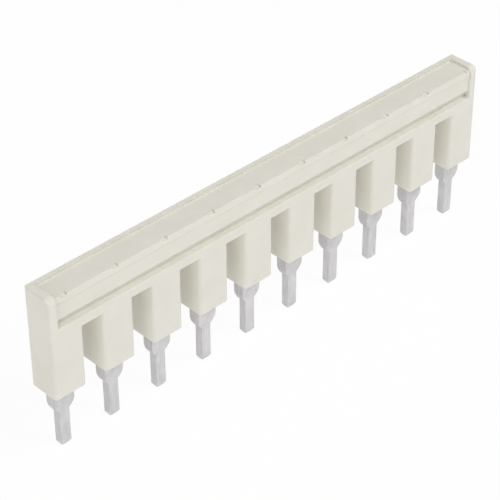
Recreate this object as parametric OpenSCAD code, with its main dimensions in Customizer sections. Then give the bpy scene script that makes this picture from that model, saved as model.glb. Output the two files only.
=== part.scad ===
// Comb jumper bridge: a stamped metal comb moulded into an insulating bar with one leg for each pole.
// The bar lies along X, its front faces -Y and its prongs point down.
// The origin is the middle of the plane in which the prongs leave the legs.

/* [Poles] */
// Number of poles
poles = 10; // [2:1:20]
// Distance between neighbouring poles
pitch = 6.2; // [5:0.1:10]

/* [Metal comb] */
// Thickness of the sheet that the comb is stamped from
sheet_t = 1.35; // [1:0.05:1.8]
// Width of a shank and of its shoulder below the leg
shank_w = 2.4; // [1.8:0.1:3]
// Straight length of a shoulder below its leg
shoulder_l = 1.7; // [0.4:0.1:3]
// Radius of the rounded step from a shoulder to its prong
step_r = 1.6; // [1.5:0.1:2.5]
// Width of a prong
prong_w = 1.25; // [0.8:0.05:1.6]
// Thickness to which a prong is coined
prong_t = 0.95; // [0.6:0.05:1]
// Length of the slope from the sheet's thickness to a prong's
coin_l = 1; // [0.5:0.1:2]
// Reach of a prong's tip below its leg
prong_l = 7.3; // [5.8:0.1:10]
// Width of the chamfer round a prong's tip
tip_chamfer_w = 0.2; // [0.05:0.05:0.25]
// Height of the chamfer round a prong's tip
tip_chamfer_h = 0.35; // [0.1:0.05:0.6]

/* [Legs] */
// Width of a leg
leg_w = 3.75; // [3.2:0.05:4.4]
// Length of a leg below the bar
leg_l = 7.2; // [3:0.1:12]
// Radius of the upright edges of the legs and of the bar's ends
edge_r = 0.3; // [0.1:0.05:0.5]

/* [Bar] */
// Thickness of the bar and its legs, front to back
bar_t = 3.6; // [3.2:0.1:5]
// Height of the bar from the gaps between the legs to the rim's top
bar_h = 4.7; // [4.2:0.1:7]
// Thickness of the moulding between the gaps and the comb's rail
floor_t = 0.5; // [0.3:0.05:1]
// Thickness of the moulding above the comb's rail
roof_t = 0.9; // [0.4:0.05:1.5]
// Gap that is left between the metal and the moulding
grip_gap = 0.02; // [0:0.01:0.08]

/* [Rim] */
// Thickness of the two end walls beside the front panel and the top recess
end_wall_t = 0.92; // [0.5:0.02:1.4]
// Thickness of the rim along the back of the top recess
back_rim_t = 0.55; // [0.3:0.05:1]
// Depth of the top recess below the rim
recess_d = 0.3; // [0.1:0.05:0.6]
// Radius of the end walls' upper front corners
front_corner_r = 0.5; // [0.1:0.05:0.6]
// Radius of the rim's upper back edge
back_corner_r = 0.15; // [0.05:0.05:0.3]

/* [Front panel] */
// Set-back of the edge strip's foot behind the end walls
strip_setback = 0.16; // [0.05:0.01:0.35]
// Height of the edge strip above the panel
strip_h = 0.65; // [0.3:0.05:1.2]
// Lean of the edge strip towards the back over its height
strip_lean = 0.14; // [0.02:0.02:0.4]
// Step from the edge strip back to the panel
panel_step = 0.1; // [0.02:0.01:0.15]

/* [Release groove] */
// Height of the sill between the gaps and the groove
sill_h = 1.05; // [0.5:0.05:1.5]
// Height of the groove
groove_h = 0.8; // [0.4:0.05:1.2]
// Depth of the groove behind the sill's front
groove_d = 0.7; // [0.4:0.05:0.85]

/* [Pole notches] */
// Width of a notch along the bar
notch_w = 0.9; // [0.2:0.05:1.2]
// Length of a notch across the top, behind the edge strip
notch_l = 0.5; // [0.1:0.05:1]
// Depth of a notch
notch_d = 0.35; // [0.1:0.05:0.5]
// Distance of a notch from the middle of its pole
notch_shift = 0.1; // [-1:0.1:1]

/* [Hidden] */
$fn = 48;

moulding_colour = "#e1dfd8";
tin_colour = "#cfcdcc";

// Run-out of a cut past the surface that it opens
cut = 1;
// Corners of a rectangle, each with the turn that points a corner cut inwards
corners = [[-1, -1, 0], [1, -1, 90], [1, 1, 180], [-1, 1, 270]];

span = (poles - 1) * pitch;
pole_x = [for (i = [0 : poles - 1]) i * pitch - span / 2];
gap_x = [for (i = [0 : poles - 2]) (i + 0.5) * pitch - span / 2];
gap_w = pitch - leg_w;

bar_l = span + leg_w;
inner_l = bar_l - 2 * end_wall_t;
front_y = -bar_t / 2;
back_y = bar_t / 2;

rim_z = leg_l + bar_h;
recess_z = rim_z - recess_d;
sill_z = leg_l + sill_h;
groove_z = sill_z + groove_h;
strip_z = recess_z - strip_h;

strip_y = front_y + strip_setback;
panel_y = strip_y + panel_step;
strip_top_y = strip_y + strip_lean;

rail_z = leg_l + floor_t;
rail_h = recess_z - roof_t - rail_z;
rail_l = span + shank_w;

step_z = -shoulder_l;
coin_z = step_z - coin_l;
tip_z = -prong_l;
tip_chamfer_z = tip_z + tip_chamfer_h;

// Draws its flat child in the Y-Z plane and runs it along the bar
module along_bar(length) {
    rotate([90, 0, 90])
        linear_extrude(height = length, center = true)
            children();
}

// Draws its flat child in the X-Z plane and gives it a thickness across the bar
module across_bar(thickness) {
    rotate([90, 0, 0])
        linear_extrude(height = thickness, center = true)
            children();
}

// What rounding takes off a square corner at the origin
module corner_cut(radius) {
    difference() {
        translate([-cut, -cut])
            square(radius + cut);
        translate([radius, radius])
            circle(radius);
    }
}

// Outline of the bar from above, with rounded upright edges
module bar_plan() {
    difference() {
        square([bar_l, bar_t], center = true);
        for (c = corners)
            translate([c[0] * bar_l / 2, c[1] * bar_t / 2])
                rotate(c[2])
                    corner_cut(edge_r);
    }
}

// Outline of an end of the bar, from the legs' ends to the rim
module end_profile() {
    difference() {
        translate([front_y, 0])
            square([bar_t, rim_z]);
        translate([front_y, rim_z])
            rotate(270)
                corner_cut(front_corner_r);
        translate([back_y, rim_z])
            rotate(180)
                corner_cut(back_corner_r);
    }
}

// What is taken off the end profile between the end walls: the groove, the set-back panel,
// the leaning edge strip and the top recess
module front_relief() {
    polygon([
        [front_y - cut, sill_z],
        [front_y + groove_d, sill_z],
        [front_y + groove_d, groove_z],
        [panel_y, groove_z],
        [panel_y, strip_z],
        [strip_y, strip_z],
        [strip_top_y, recess_z],
        [back_y - back_rim_t, recess_z],
        [back_y - back_rim_t, rim_z + cut],
        [front_y - cut, rim_z + cut]
    ]);
}

// Outline of a gap between two legs from above, flared by the legs' rounded edges
module gap_plan() {
    square([gap_w, bar_t + 2 * cut], center = true);
    for (c = corners)
        translate([-c[0] * gap_w / 2, c[1] * bar_t / 2])
            rotate(c[2])
                corner_cut(edge_r);
}

// One notch in the front edge of the top recess
module pole_notch() {
    translate([-notch_w / 2, front_y - cut, recess_z - notch_d])
        cube([notch_w, strip_top_y + notch_l - front_y + cut, notch_d + recess_d + cut]);
}

// The comb's rail and shanks down to the shoulders' ends, grown by a gap on every side
module comb_trunk(gap) {
    translate([-rail_l / 2 - gap, rail_z - gap])
        square([rail_l + 2 * gap, rail_h + 2 * gap]);
    for (x = pole_x)
        translate([x - shank_w / 2 - gap, step_z])
            square([shank_w + 2 * gap, rail_z + rail_h - step_z]);
}

// Rounded step from a shoulder to its prong: two arcs that lean in from the shoulder's sides
// and run on inside the shank and the prong
module step_outline() {
    intersection_for (side = [-1, 1])
        translate([side * (step_r - shank_w / 2), step_z])
            circle(step_r);
}

// One prong from the front, with its tip chamfered. It runs on up into its shank.
module prong_outline() {
    polygon([
        [-prong_w / 2, 0],
        [-prong_w / 2, tip_chamfer_z],
        [tip_chamfer_w - prong_w / 2, tip_z],
        [prong_w / 2 - tip_chamfer_w, tip_z],
        [prong_w / 2, tip_chamfer_z],
        [prong_w / 2, 0]
    ]);
}

// Half of the comb's thickness at each height, drawn as one outline from the side
module coined_profile() {
    half_thickness = [
        [sheet_t / 2, rail_z + rail_h],
        [sheet_t / 2, step_z],
        [prong_t / 2, coin_z],
        [prong_t / 2, tip_chamfer_z],
        [prong_t / 2 - tip_chamfer_w, tip_z]
    ];
    last = len(half_thickness) - 1;
    polygon(concat(
        half_thickness,
        [for (i = [last : -1 : 0]) [-half_thickness[i][0], half_thickness[i][1]]]
    ));
}

module housing() {
    color(moulding_colour)
        difference() {
            intersection() {
                linear_extrude(height = rim_z)
                    bar_plan();
                along_bar(bar_l)
                    end_profile();
            }
            along_bar(inner_l)
                front_relief();
            intersection() {
                along_bar(inner_l)
                    translate([front_y - cut, 0])
                        square([bar_t + cut, rim_z + cut]);
                for (x = pole_x)
                    translate([x + notch_shift, 0, 0])
                        pole_notch();
            }
            for (x = gap_x)
                translate([x, 0, -cut])
                    linear_extrude(height = leg_l + cut)
                        gap_plan();
            across_bar(sheet_t + 2 * grip_gap)
                comb_trunk(grip_gap);
        }
}

module contact_comb() {
    color(tin_colour)
        intersection() {
            across_bar(sheet_t) {
                comb_trunk(0);
                for (x = pole_x)
                    translate([x, 0]) {
                        step_outline();
                        prong_outline();
                    }
            }
            along_bar(rail_l)
                coined_profile();
        }
}

housing();
contact_comb();
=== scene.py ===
"""Looks of the comb jumper bridge: a moulded insulating bar with ten legs round a tin-plated metal comb."""

import math
from collections import Counter

import bmesh
import bpy
from mathutils import Matrix, Vector


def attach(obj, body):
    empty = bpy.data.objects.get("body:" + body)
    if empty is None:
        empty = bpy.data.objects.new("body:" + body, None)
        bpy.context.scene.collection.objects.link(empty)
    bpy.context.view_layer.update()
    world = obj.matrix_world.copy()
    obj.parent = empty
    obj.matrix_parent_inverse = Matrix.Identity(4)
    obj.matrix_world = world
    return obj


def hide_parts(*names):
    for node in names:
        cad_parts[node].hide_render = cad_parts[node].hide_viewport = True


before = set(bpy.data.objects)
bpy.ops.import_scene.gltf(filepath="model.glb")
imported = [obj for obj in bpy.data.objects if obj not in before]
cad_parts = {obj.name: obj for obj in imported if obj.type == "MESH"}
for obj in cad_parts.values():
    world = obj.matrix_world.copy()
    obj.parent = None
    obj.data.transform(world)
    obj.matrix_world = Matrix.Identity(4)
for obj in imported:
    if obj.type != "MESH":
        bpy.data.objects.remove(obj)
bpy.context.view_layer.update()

MM = 0.001

# Sizes of the bar, in millimetres, as in the part's source
POLES = 10
PITCH = 6.2
FRONT_Y, BACK_Y = -1.8, 1.8
END_X, END_WALL_X = 29.775, 28.855
RIM_Y, RIM_Z = 1.25, 11.9
RECESS_Z = 11.6
STRIP_TOP_Y = -1.5
NOTCH_LEFT, NOTCH_RIGHT = -0.35, 0.55
NOTCH_BACK_Y, NOTCH_Z = -1.0, 11.25
PANEL_Y = -1.54
GROOVE_Z = 9.05
SILL_Z = 8.25
SLOT_HALF_W, SLOT_HALF_T = 1.3, 0.75
TIP_Z = -7.3

POLE_X = [(i - (POLES - 1) / 2) * PITCH for i in range(POLES)]

# Radii of the edges that the mould and the stamping tool round, in millimetres
FRONT_CORNER_R = 0.95
END_EDGE_R = 0.25
LEG_END_R = 0.15
LIP_R = 0.06
FINE_R = 0.04
RIM_INNER_R = 0.02
COMB_EDGE_R = 0.06

# The notches' sloping floors, in millimetres: their left wall moves in, and their corners lie at these places
NOTCH_INSET = 0.1
SLOPE_BACK_Y = -1.17
SLOPE_BACK_Z = {"left": 11.53, "right": 11.42}
SLOPE_FRONT_YZ = {"left": (-1.54, 11.415), "right": (-1.56, 11.32)}

# How far a cutting tool stands out past the bar, in millimetres
TOOL_REACH = 1

# Distance and width of the studio lamps, in metres
LAMP_DISTANCE, LAMP_SIZE = 0.75, 0.5


# Modelling helpers


def only(piece):
    """Makes a piece the only selected object, and the active one."""
    bpy.ops.object.select_all(action="DESELECT")
    piece.select_set(True)
    bpy.context.view_layer.objects.active = piece


def open_whole(piece):
    """Opens a piece for editing, with all of it selected."""
    only(piece)
    bpy.ops.object.mode_set(mode="EDIT")
    bpy.ops.mesh.select_all(action="SELECT")


def open_at(piece, kind, chosen):
    """Opens a piece for editing, with only the chosen faces or edges selected."""
    open_whole(piece)
    bpy.ops.mesh.select_mode(type=kind)
    bpy.ops.mesh.select_all(action="DESELECT")
    bpy.ops.object.mode_set(mode="OBJECT")
    parts = piece.data.polygons if kind == "FACE" else piece.data.edges
    for i in chosen:
        parts[i].select = True
    bpy.ops.object.mode_set(mode="EDIT")


def close():
    """Ends the editing of a piece."""
    bpy.ops.object.mode_set(mode="OBJECT")


def apply_modifier(piece, kind, **settings):
    """Adds a modifier to a piece, sets it and applies it."""
    only(piece)
    bpy.ops.object.modifier_add(type=kind)
    modifier = piece.modifiers[-1]
    for name, value in settings.items():
        setattr(modifier, name, value)
    bpy.ops.object.modifier_apply(modifier=modifier.name)


def cut_away(piece, tool):
    """Takes the shape of a tool out of a piece, and throws the tool away."""
    apply_modifier(piece, "BOOLEAN", operation="DIFFERENCE", solver="EXACT", object=tool)
    bpy.data.objects.remove(tool)


def join_flat_faces(piece):
    """Merges the corners that lie together, and makes each flat area of a piece a single face."""
    open_whole(piece)
    bpy.ops.mesh.remove_doubles(threshold=0.0005 * MM)
    bpy.ops.mesh.dissolve_limited(angle_limit=math.radians(0.5), delimit={"NORMAL"})
    close()


def copy_of_node(node, name):
    """A new piece with a CAD node's shape."""
    piece = bpy.data.objects.new(name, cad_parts[node].data.copy())
    bpy.context.scene.collection.objects.link(piece)
    only(piece)
    bpy.ops.mesh.customdata_custom_splitnormals_clear()
    join_flat_faces(piece)
    return piece


def near(value, target):
    """True if two lengths in millimetres are the same, for picking edges by their place."""
    return abs(value - target) < 0.01


def round_edges(piece, widest, width_of):
    """Rounds the edges of a piece, each by its own width in millimetres, which the test gives from the edge's
    two ends and from the angle between its faces, below zero in a hollow corner."""
    mesh = bmesh.new()
    mesh.from_mesh(piece.data)
    share = mesh.edges.layers.float.new("bevel_weight_edge")
    for edge in mesh.edges:
        if len(edge.link_faces) == 2:
            a, b = (v.co / MM for v in edge.verts)
            edge[share] = width_of(a, b, math.degrees(edge.calc_face_angle_signed(0))) / widest
    mesh.to_mesh(piece.data)
    mesh.free()
    apply_modifier(piece, "BEVEL", limit_method="WEIGHT", width=widest * MM, segments=3, use_clamp_overlap=False)
    open_whole(piece)
    bpy.ops.mesh.dissolve_degenerate(threshold=0.003 * MM)
    close()


def finish_shading(piece):
    """Smooth shading over the broken edges, with the flat faces kept flat."""
    only(piece)
    bpy.ops.object.shade_smooth_by_angle(angle=math.radians(35))
    apply_modifier(piece, "WEIGHTED_NORMAL", keep_sharp=True, weight=80)


# Finishes


def new_material(name):
    """A node material, with its nodes, links and shader."""
    material = bpy.data.materials.new(name)
    material.use_nodes = True
    nodes, links = material.node_tree.nodes, material.node_tree.links
    return material, nodes, links, nodes["Principled BSDF"]


def moulded_polyamide():
    """Warm light grey moulding: faint cloudiness in the colour, fine spark-eroded grain and soft flow ripples."""
    material, nodes, links, shader = new_material("moulded_polyamide")
    place = nodes.new("ShaderNodeTexCoord")

    cloud = nodes.new("ShaderNodeTexNoise")
    cloud.inputs["Scale"].default_value = 420
    cloud.inputs["Detail"].default_value = 3
    links.new(place.outputs["Object"], cloud.inputs["Vector"])
    tint = nodes.new("ShaderNodeValToRGB")
    tint.color_ramp.elements[0].position = 0.3
    tint.color_ramp.elements[0].color = (0.742, 0.722, 0.643, 1)
    tint.color_ramp.elements[1].position = 0.7
    tint.color_ramp.elements[1].color = (0.772, 0.755, 0.681, 1)
    links.new(cloud.outputs["Fac"], tint.inputs["Fac"])
    links.new(tint.outputs["Color"], shader.inputs["Base Color"])

    grain = nodes.new("ShaderNodeTexNoise")
    grain.inputs["Scale"].default_value = 9000
    grain.inputs["Detail"].default_value = 2
    links.new(place.outputs["Object"], grain.inputs["Vector"])
    gloss = nodes.new("ShaderNodeMapRange")
    gloss.inputs["To Min"].default_value = 0.55
    gloss.inputs["To Max"].default_value = 0.7
    links.new(grain.outputs["Fac"], gloss.inputs["Value"])
    links.new(gloss.outputs["Result"], shader.inputs["Roughness"])

    ripple = nodes.new("ShaderNodeTexNoise")
    ripple.inputs["Scale"].default_value = 1100
    ripple.inputs["Detail"].default_value = 2
    links.new(place.outputs["Object"], ripple.inputs["Vector"])
    soft = nodes.new("ShaderNodeBump")
    soft.inputs["Strength"].default_value = 0.25
    soft.inputs["Distance"].default_value = 0.01 * MM
    links.new(ripple.outputs["Fac"], soft.inputs["Height"])
    fine = nodes.new("ShaderNodeBump")
    fine.inputs["Strength"].default_value = 0.4
    fine.inputs["Distance"].default_value = 0.004 * MM
    links.new(grain.outputs["Fac"], fine.inputs["Height"])
    links.new(soft.outputs["Normal"], fine.inputs["Normal"])
    links.new(fine.outputs["Normal"], shader.inputs["Normal"])
    return material


def matt_tin():
    """Tin plating over stamped copper: matt grey, with fine drawn streaks along the prongs."""
    material, nodes, links, shader = new_material("matt_tin")
    shader.inputs["Metallic"].default_value = 1
    place = nodes.new("ShaderNodeTexCoord")
    drawn = nodes.new("ShaderNodeMapping")
    drawn.inputs["Scale"].default_value = (1, 1, 0.06)
    links.new(place.outputs["Object"], drawn.inputs["Vector"])
    streak = nodes.new("ShaderNodeTexNoise")
    streak.inputs["Scale"].default_value = 7000
    streak.inputs["Detail"].default_value = 3
    links.new(drawn.outputs["Vector"], streak.inputs["Vector"])
    bloom = nodes.new("ShaderNodeTexNoise")
    bloom.inputs["Scale"].default_value = 900
    bloom.inputs["Detail"].default_value = 4
    links.new(place.outputs["Object"], bloom.inputs["Vector"])

    uneven = nodes.new("ShaderNodeMix")
    uneven.inputs["Factor"].default_value = 0.6
    links.new(bloom.outputs["Fac"], uneven.inputs["A"])
    links.new(streak.outputs["Fac"], uneven.inputs["B"])
    tint = nodes.new("ShaderNodeValToRGB")
    tint.color_ramp.elements[0].position = 0.35
    tint.color_ramp.elements[0].color = (0.56, 0.552, 0.556, 1)
    tint.color_ramp.elements[1].position = 0.65
    tint.color_ramp.elements[1].color = (0.67, 0.662, 0.664, 1)
    links.new(uneven.outputs["Result"], tint.inputs["Fac"])
    links.new(tint.outputs["Color"], shader.inputs["Base Color"])

    gloss = nodes.new("ShaderNodeMapRange")
    gloss.inputs["To Min"].default_value = 0.66
    gloss.inputs["To Max"].default_value = 0.82
    links.new(streak.outputs["Fac"], gloss.inputs["Value"])
    links.new(gloss.outputs["Result"], shader.inputs["Roughness"])
    ridge = nodes.new("ShaderNodeBump")
    ridge.inputs["Strength"].default_value = 0.3
    ridge.inputs["Distance"].default_value = 0.004 * MM
    links.new(streak.outputs["Fac"], ridge.inputs["Height"])
    links.new(ridge.outputs["Normal"], shader.inputs["Normal"])
    return material


# Pieces


def moulding_edge(a, b, angle):
    """How far the mould rounds an edge of the bar."""
    if abs(angle) < 40:
        return 0
    if near(a.z, 0) and near(b.z, 0):
        middle = (a + b) / 2
        in_slot = min(abs(middle.x - x) for x in POLE_X) < SLOT_HALF_W and abs(middle.y) < SLOT_HALF_T
        return 0 if in_slot else LEG_END_R
    if near(a.z, RIM_Z) and near(b.z, RIM_Z):
        return RIM_INNER_R if near(a.y, RIM_Y) and near(b.y, RIM_Y) else LIP_R
    if near(a.y, FRONT_Y) and near(b.y, FRONT_Y) and near(abs(a.x), END_WALL_X) and near(abs(b.x), END_WALL_X):
        return LIP_R
    if near(a.y, b.y) and near(a.z, b.z):
        for y, z, radius in (
            (STRIP_TOP_Y, RECESS_Z, FINE_R),
            (RIM_Y, RECESS_Z, FINE_R),
            (PANEL_Y, GROOVE_Z, FINE_R),
            (FRONT_Y, SILL_Z, LIP_R),
        ):
            if near(a.y, y) and near(a.z, z):
                return radius
    return 0


def round_off(piece, edge, length, radius):
    """Rounds a long upper edge of the bar, given by the place of its middle: a block that lies over the edge is
    hollowed by a rod of the radius, and then cut out of the piece."""
    edge = Vector((*edge, RIM_Z))
    out = Vector((edge.x, edge.y, 0)).normalized()
    up = Vector((0, 0, 1))
    width = radius + TOOL_REACH

    bpy.ops.object.select_all(action="DESELECT")
    bpy.ops.mesh.primitive_cube_add(size=MM, location=(edge + (out + up) * (TOOL_REACH - radius) / 2) * MM)
    block = bpy.context.active_object
    block.scale = (width if out.x else length, width if out.y else length, width)

    bpy.ops.object.select_all(action="DESELECT")
    bpy.ops.mesh.primitive_cylinder_add(
        vertices=32,
        radius=radius * MM,
        depth=2 * length * MM,
        location=(edge - (out + up) * radius) * MM,
        rotation=(math.pi / 2 * abs(out.x), math.pi / 2 * abs(out.y), 0),
    )
    cut_away(block, bpy.context.active_object)
    cut_away(piece, block)
    join_flat_faces(piece)


def leg_end_faces(piece):
    """The faces in the plane in which the prongs leave the legs."""
    corners = piece.data.vertices
    return [f for f in piece.data.polygons if all(near(corners[i].co.z / MM, 0) for i in f.vertices)]


def part_leg_ends(piece):
    """Parts the end face of each leg, a ring round its shank, into four corners, so that its edges round cleanly."""
    cuts = [((0, 0, 0), (0, 1, 0))] + [((x * MM, 0, 0), (1, 0, 0)) for x in POLE_X]
    for place, across in cuts:
        open_at(piece, "FACE", [f.index for f in leg_end_faces(piece)])
        bpy.ops.mesh.bisect(plane_co=place, plane_no=across, threshold=0.001 * MM)
        close()

    uses = Counter(key for f in leg_end_faces(piece) for key in f.edge_keys)
    old_seams = []
    for edge in piece.data.edges:
        a, b = (piece.data.vertices[i].co / MM for i in edge.vertices)
        on_cut = abs(a.y) + abs(b.y) < 0.01 or min(abs(a.x - x) + abs(b.x - x) for x in POLE_X) < 0.01
        if uses[edge.key] == 2 and not on_cut:
            old_seams.append(edge.index)
    open_at(piece, "EDGE", old_seams)
    bpy.ops.mesh.dissolve_edges(use_verts=True)
    close()


def slope_notches(piece):
    """Slopes the floor of each pole's notch, which is deepest at its right wall and at the front."""
    for v in piece.data.vertices:
        x, y, z = v.co / MM
        from_pole = min((x - pole for pole in POLE_X), key=abs)
        on_left, on_right = near(from_pole, NOTCH_LEFT), near(from_pole, NOTCH_RIGHT)
        if not (on_left or on_right) or y > NOTCH_BACK_Y + 0.01 or z < NOTCH_Z - 0.01:
            continue
        side = "left" if on_left else "right"
        if on_left:
            v.co.x += NOTCH_INSET * MM
        if near(y, NOTCH_BACK_Y):
            v.co.y = SLOPE_BACK_Y * MM
            if near(z, NOTCH_Z):
                v.co.z = SLOPE_BACK_Z[side] * MM
        elif near(z, NOTCH_Z):
            v.co.y, v.co.z = (length * MM for length in SLOPE_FRONT_YZ[side])


def make_moulding():
    """The insulating bar, with the edges that its mould rounds."""
    piece = copy_of_node("housing", "moulded_bar")
    round_off(piece, (0, FRONT_Y), 2 * (END_X + TOOL_REACH), FRONT_CORNER_R)
    for end in (-END_X, END_X):
        round_off(piece, (end, 0), 2 * (BACK_Y + TOOL_REACH), END_EDGE_R)
    part_leg_ends(piece)
    slope_notches(piece)
    round_edges(piece, LEG_END_R, moulding_edge)
    for v in piece.data.vertices:
        v.co.y = min(max(v.co.y, FRONT_Y * MM), BACK_Y * MM)
        v.co.z = min(v.co.z, RIM_Z * MM)
    finish_shading(piece)
    piece.data.materials.clear()
    piece.data.materials.append(moulded_polyamide())
    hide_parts("housing")
    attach(piece, "root")


def make_comb():
    """The metal comb, with the rolled edges that stamping leaves on its prongs."""
    piece = copy_of_node("contact_comb", "stamped_comb")
    round_edges(piece, COMB_EDGE_R, lambda a, b, angle: COMB_EDGE_R if angle > 30 else 0)
    finish_shading(piece)
    piece.data.materials.clear()
    piece.data.materials.append(matt_tin())
    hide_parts("contact_comb")
    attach(piece, "root")


make_moulding()
make_comb()


# Stage, light and camera


def level_by_ray(nodes, links, on_bar, mirrored, in_picture):
    """A value with one level for light on the bar, one for reflections and clear bodies, and one for the
    picture's own background."""
    path = nodes.new("ShaderNodeLightPath")
    either = nodes.new("ShaderNodeMath")
    either.operation = "MAXIMUM"
    links.new(path.outputs["Is Glossy Ray"], either.inputs[0])
    links.new(path.outputs["Is Transmission Ray"], either.inputs[1])

    reflected = nodes.new("ShaderNodeMapRange")
    reflected.inputs["To Min"].default_value = on_bar
    reflected.inputs["To Max"].default_value = mirrored
    links.new(either.outputs[0], reflected.inputs["Value"])

    level = nodes.new("ShaderNodeMapRange")
    level.inputs["To Max"].default_value = in_picture
    links.new(reflected.outputs["Result"], level.inputs["To Min"])
    links.new(path.outputs["Is Camera Ray"], level.inputs["Value"])
    return level.outputs["Result"]


def make_stage():
    """A plain white floor at the prongs' tips, which glows a little like a light table and keeps a soft shadow,
    and a white surround."""
    bpy.ops.object.select_all(action="DESELECT")
    bpy.ops.mesh.primitive_plane_add(size=4, location=(0, 0, TIP_Z * MM))
    floor = bpy.context.active_object
    floor.name = "floor"
    material, nodes, links, shader = new_material("white_floor")
    nodes.remove(shader)
    matt = nodes.new("ShaderNodeBsdfDiffuse")
    matt.inputs["Color"].default_value = (0.95, 0.95, 0.95, 1)
    glow = nodes.new("ShaderNodeEmission")
    links.new(level_by_ray(nodes, links, 1.06, 1, 1), glow.inputs["Strength"])
    mix = nodes.new("ShaderNodeMixShader")
    links.new(level_by_ray(nodes, links, 0.95, 0.25, 0.95), mix.inputs["Fac"])
    links.new(matt.outputs["BSDF"], mix.inputs[1])
    links.new(glow.outputs["Emission"], mix.inputs[2])
    links.new(mix.outputs["Shader"], nodes["Material Output"].inputs["Surface"])
    floor.data.materials.append(material)

    world = bpy.data.worlds.new("white_surround")
    bpy.context.scene.world = world
    world.use_nodes = True
    nodes, links = world.node_tree.nodes, world.node_tree.links
    background = nodes["Background"]
    background.inputs["Color"].default_value = (1, 1, 1, 1)
    links.new(level_by_ray(nodes, links, 0.03, 1, 1), background.inputs["Strength"])


def soft_box(name, azimuth, elevation, power):
    """A square studio lamp that faces the bar from a direction, with the front at azimuth 0 and the left at -90."""
    lamp = bpy.data.lights.new(name, "AREA")
    lamp.shape = "SQUARE"
    lamp.size = LAMP_SIZE
    lamp.energy = power
    holder = bpy.data.objects.new(name, lamp)
    bpy.context.scene.collection.objects.link(holder)
    turn, tilt = math.radians(azimuth), math.radians(elevation)
    away = Vector((math.sin(turn) * math.cos(tilt), -math.cos(turn) * math.cos(tilt), math.sin(tilt)))
    holder.location = away * LAMP_DISTANCE
    holder.rotation_euler = away.to_track_quat("Z", "Y").to_euler()


def make_camera():
    """The photo's camera: above the bar's front left, looking along it. Its place and its focal length, 1931
    pixels of a picture 500 wide, were fitted to the photo."""
    data = bpy.data.cameras.new("photo_camera")
    data.sensor_width = 36
    data.lens = 36 * 1931 / 500
    data.clip_start, data.clip_end = 0.01, 10
    camera = bpy.data.objects.new("photo_camera", data)
    bpy.context.scene.collection.objects.link(camera)
    camera.matrix_world = Matrix((
        (0.7186017, 0.4138755, -0.5588548, -0.1123996),
        (-0.6954175, 0.4248243, -0.579585, -0.1138498),
        (-0.002461, 0.8051282, 0.5930957, 0.1194204),
        (0, 0, 0, 1),
    ))
    bpy.context.scene.camera = camera


make_stage()
soft_box("left_box", -70, 25, 2.3)
soft_box("right_front_box", 35, 50, 3.85)
soft_box("back_box", 180, 12, 1.5)
soft_box("top_box", 180, 70, 1.04)
make_camera()
bpy.context.scene.view_settings.view_transform = "Standard"
